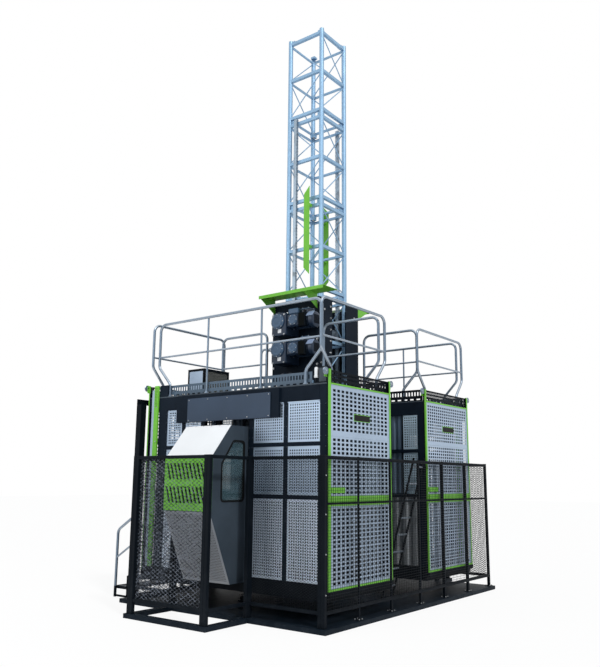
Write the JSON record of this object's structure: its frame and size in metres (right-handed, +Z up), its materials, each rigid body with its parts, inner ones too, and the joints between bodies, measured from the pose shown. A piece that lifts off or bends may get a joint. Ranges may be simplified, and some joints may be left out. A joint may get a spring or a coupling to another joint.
{
  "type": "material hoist",
  "caption": "Twin-cage rack and pinion material hoist on a square lattice mast, with operator cabs, roof rails and a mesh enclosure at the base.",
  "frame": {"origin": "on the ground at the mast's axis, the centre of the anchor holes", "axes": "+Z up the mast, -Y to the landing doors at the front, -X to the near cage"},
  "size_m": [5.9, 4.0802, 9.1146],
  "materials": {
    "dark_paint": "satin paint",
    "mesh_paint": "powder coat",
    "galvanised": "hot-dip galvanised",
    "tooth_steel": "machined and greased",
    "bolt_steel": "zinc plated",
    "lime_paint": "satin paint",
    "spring_paint": "satin paint",
    "slate_paint": "satin paint",
    "sheet_aluminium": "mill finish sheet",
    "cab_glass": "tinted, in a black gasket",
    "motor_paint": "semi-gloss paint"
  },
  "bodies": {
    "base": {"base_frame": "dark_paint", "fence_front": "dark_paint", "fence_sides": "dark_paint", "fence_rear": "dark_paint", "fence_mesh": "mesh_paint", "mast_base_section": "galvanised", "mast_mid_sections": "galvanised", "mast_top_section": "galvanised", "racks": "tooth_steel", "mast_bolts": "bolt_steel", "limit_cams": "lime_paint", "buffer_springs": "spring_paint", "ladder": "dark_paint", "stairs": "slate_paint"},
    "near_gate": {"near_gate": "dark_paint"},
    "far_gate": {"far_gate": "dark_paint"},
    "near_cage": {"near_floor": "dark_paint", "near_frame": "dark_paint", "near_panels": "sheet_aluminium", "near_roof": "slate_paint", "near_rails": "galvanised", "near_cab_shell": "slate_paint", "near_cab_glazing": "cab_glass", "near_cab_panels": "sheet_aluminium", "near_drive_plate": "dark_paint", "near_reducers": "motor_paint", "near_motors": "motor_paint", "near_safety_brake": "motor_paint", "near_canopy": "lime_paint", "near_resistor": "slate_paint", "near_door_guides": "lime_paint"},
    "near_front_door": {"near_front_door": "sheet_aluminium"},
    "near_rear_door": {"near_rear_door": "sheet_aluminium"},
    "near_pinion_upper": {"near_pinion_upper": "tooth_steel"},
    "near_pinion_lower": {"near_pinion_lower": "tooth_steel"},
    "near_pinion_safety": {"near_pinion_safety": "tooth_steel"},
    "near_rollers_upper": {"near_rollers_upper": "bolt_steel"},
    "near_rollers_lower": {"near_rollers_lower": "bolt_steel"},
    "far_cage": {"far_floor": "dark_paint", "far_frame": "dark_paint", "far_panels": "sheet_aluminium", "far_roof": "slate_paint", "far_rails": "galvanised", "far_cab_shell": "slate_paint", "far_cab_glazing": "cab_glass", "far_cab_panels": "sheet_aluminium", "far_drive_plate": "dark_paint", "far_reducers": "motor_paint", "far_motors": "motor_paint", "far_safety_brake": "motor_paint", "far_canopy": "lime_paint", "far_resistor": "slate_paint", "far_door_guides": "lime_paint"},
    "far_front_door": {"far_front_door": "sheet_aluminium"},
    "far_rear_door": {"far_rear_door": "sheet_aluminium"},
    "far_pinion_upper": {"far_pinion_upper": "tooth_steel"},
    "far_pinion_lower": {"far_pinion_lower": "tooth_steel"},
    "far_pinion_safety": {"far_pinion_safety": "tooth_steel"},
    "far_rollers_upper": {"far_rollers_upper": "bolt_steel"},
    "far_rollers_lower": {"far_rollers_lower": "bolt_steel"}
  },
  "joints": [
    {"name": "near_cage_lift", "type": "slide", "parent": "base", "child": "near_cage", "axis": [0, 0, 1], "range_m": [0, 2.8]},
    {"name": "near_gate_lift", "type": "slide", "parent": "base", "child": "near_gate", "axis": [0, 0, 1], "range_m": [0, 1.6]},
    {"name": "near_front_door_lift", "type": "slide", "parent": "near_cage", "child": "near_front_door", "axis": [0, 0, 1], "range_m": [0, 1.9]},
    {"name": "near_rear_door_lift", "type": "slide", "parent": "near_cage", "child": "near_rear_door", "axis": [0, 0, 1], "range_m": [0, 1.9]},
    {"name": "near_pinion_upper_spin", "type": "hinge", "parent": "near_cage", "child": "near_pinion_upper", "pos_m": [-0.395, 0.07, 4.06311], "axis": [1, 0, 0], "range_deg": [-2700, 0]},
    {"name": "near_pinion_lower_spin", "type": "hinge", "parent": "near_cage", "child": "near_pinion_lower", "pos_m": [-0.395, 0.07, 3.63585], "axis": [1, 0, 0], "range_deg": [-2700, 0]},
    {"name": "near_pinion_safety_spin", "type": "hinge", "parent": "near_cage", "child": "near_pinion_safety", "pos_m": [-0.395, 0.07, 3.18346], "axis": [1, 0, 0], "range_deg": [-2700, 0]},
    {"name": "near_rollers_upper_spin", "type": "hinge", "parent": "near_cage", "child": "near_rollers_upper", "pos_m": [-0.4083, 0, 4.28311], "axis": [0, 1, 0], "range_deg": [0, 3600]},
    {"name": "near_rollers_lower_spin", "type": "hinge", "parent": "near_cage", "child": "near_rollers_lower", "pos_m": [-0.4083, 0, 0.75], "axis": [0, 1, 0], "range_deg": [0, 3600]},
    {"name": "far_cage_lift", "type": "slide", "parent": "base", "child": "far_cage", "axis": [0, 0, 1], "range_m": [0, 2.8]},
    {"name": "far_gate_lift", "type": "slide", "parent": "base", "child": "far_gate", "axis": [0, 0, 1], "range_m": [0, 1.6]},
    {"name": "far_front_door_lift", "type": "slide", "parent": "far_cage", "child": "far_front_door", "axis": [0, 0, 1], "range_m": [0, 1.9]},
    {"name": "far_rear_door_lift", "type": "slide", "parent": "far_cage", "child": "far_rear_door", "axis": [0, 0, 1], "range_m": [0, 1.9]},
    {"name": "far_pinion_upper_spin", "type": "hinge", "parent": "far_cage", "child": "far_pinion_upper", "pos_m": [0.395, -0.07, 4.06311], "axis": [1, 0, 0], "range_deg": [0, 2700]},
    {"name": "far_pinion_lower_spin", "type": "hinge", "parent": "far_cage", "child": "far_pinion_lower", "pos_m": [0.395, -0.07, 3.63585], "axis": [1, 0, 0], "range_deg": [0, 2700]},
    {"name": "far_pinion_safety_spin", "type": "hinge", "parent": "far_cage", "child": "far_pinion_safety", "pos_m": [0.395, -0.07, 3.18346], "axis": [1, 0, 0], "range_deg": [0, 2700]},
    {"name": "far_rollers_upper_spin", "type": "hinge", "parent": "far_cage", "child": "far_rollers_upper", "pos_m": [0.4083, 0, 4.28311], "axis": [0, 1, 0], "range_deg": [-3600, 0]},
    {"name": "far_rollers_lower_spin", "type": "hinge", "parent": "far_cage", "child": "far_rollers_lower", "pos_m": [0.4083, 0, 0.75], "axis": [0, 1, 0], "range_deg": [-3600, 0]}
  ],
  "couplings": [
    {"joint": "near_pinion_upper_spin", "follows": "near_cage_lift", "rad_per_m": -16.667},
    {"joint": "near_pinion_lower_spin", "follows": "near_cage_lift", "rad_per_m": -16.667},
    {"joint": "near_pinion_safety_spin", "follows": "near_cage_lift", "rad_per_m": -16.667},
    {"joint": "near_rollers_upper_spin", "follows": "near_cage_lift", "rad_per_m": 22.222},
    {"joint": "near_rollers_lower_spin", "follows": "near_cage_lift", "rad_per_m": 22.222},
    {"joint": "far_pinion_upper_spin", "follows": "far_cage_lift", "rad_per_m": 16.667},
    {"joint": "far_pinion_lower_spin", "follows": "far_cage_lift", "rad_per_m": 16.667},
    {"joint": "far_pinion_safety_spin", "follows": "far_cage_lift", "rad_per_m": 16.667},
    {"joint": "far_rollers_upper_spin", "follows": "far_cage_lift", "rad_per_m": -22.222},
    {"joint": "far_rollers_lower_spin", "follows": "far_cage_lift", "rad_per_m": -22.222}
  ]
}
